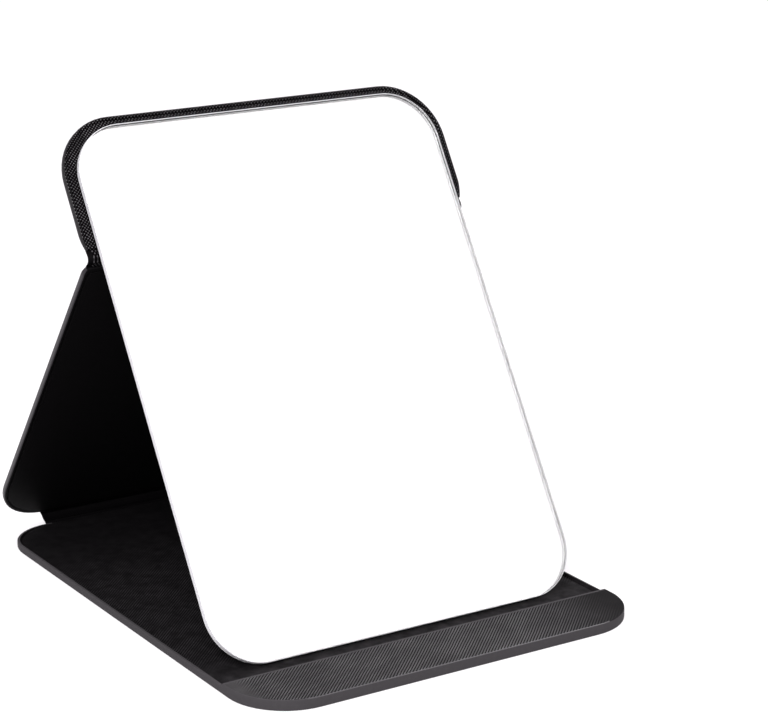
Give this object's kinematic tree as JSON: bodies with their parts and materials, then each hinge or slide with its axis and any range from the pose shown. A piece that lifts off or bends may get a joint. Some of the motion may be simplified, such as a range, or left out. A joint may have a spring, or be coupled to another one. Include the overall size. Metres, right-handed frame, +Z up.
{
  "type": "folding desk mirror",
  "caption": "Folding desk mirror: a leather-covered book cover that opens into a triangular stand, with a round-cornered glass mirror on its upper flap.",
  "frame": {"origin": "centre of the base panel's underside, on the desk", "axes": "+X to the right of someone who looks into the mirror, +Y to the rear, towards the spine, +Z up"},
  "size_m": [0.155, 0.2067, 0.1682],
  "materials": {
    "pu_leather": "embossed cross-hatch PU leather, satin",
    "pu_lining": "embossed cross-hatch PU leather, satin",
    "grey_board": "pressed grey board",
    "foam_tape": "white double-sided foam tape",
    "safety_film": "black backing paint and safety film",
    "silver": "silvered",
    "float_glass": "clear float glass, ground edges"
  },
  "bodies": {
    "base": {"base_board": "grey_board", "base_skin": "pu_leather", "base_lining": "pu_lining", "stop_bar_board": "grey_board", "stop_bar_skin": "pu_leather", "lower_spine_fold": "pu_leather"},
    "spine": {"spine_skin": "pu_leather", "spine_lining": "pu_lining", "upper_spine_fold": "pu_leather"},
    "leg": {"leg_board": "grey_board", "leg_skin": "pu_leather", "leg_lining": "pu_lining", "cover_fold_skin": "pu_leather", "cover_fold_lining": "pu_lining"},
    "mirror": {"flap_board": "grey_board", "flap_skin": "pu_leather", "flap_lining": "pu_lining", "mounting_tape": "foam_tape", "mirror_backing": "safety_film", "mirror_silvering": "silver", "mirror_glass": "float_glass"}
  },
  "joints": [
    {"name": "lower_spine_hinge", "type": "hinge", "parent": "base", "child": "spine", "pos_m": [0, 0.1015, 0.0002], "axis": [-1, 0, 0], "range_deg": [0, 34.5], "deforming": ["lower_spine_fold"]},
    {"name": "upper_spine_hinge", "type": "hinge", "parent": "spine", "child": "leg", "pos_m": [0, 0.10686, 0.00388], "axis": [-1, 0, 0], "range_deg": [0, 92.18], "deforming": ["upper_spine_fold"]},
    {"name": "cover_hinge", "type": "hinge", "parent": "leg", "child": "mirror", "pos_m": [0, 0.01624, 0.12529], "axis": [1, 0, 0], "range_deg": [0, 68.81], "deforming": ["cover_fold_skin", "cover_fold_lining"]}
  ],
  "couplings": [
    {"joint": "cover_hinge", "follows": "upper_spine_hinge", "ratio": 0.74638}
  ]
}
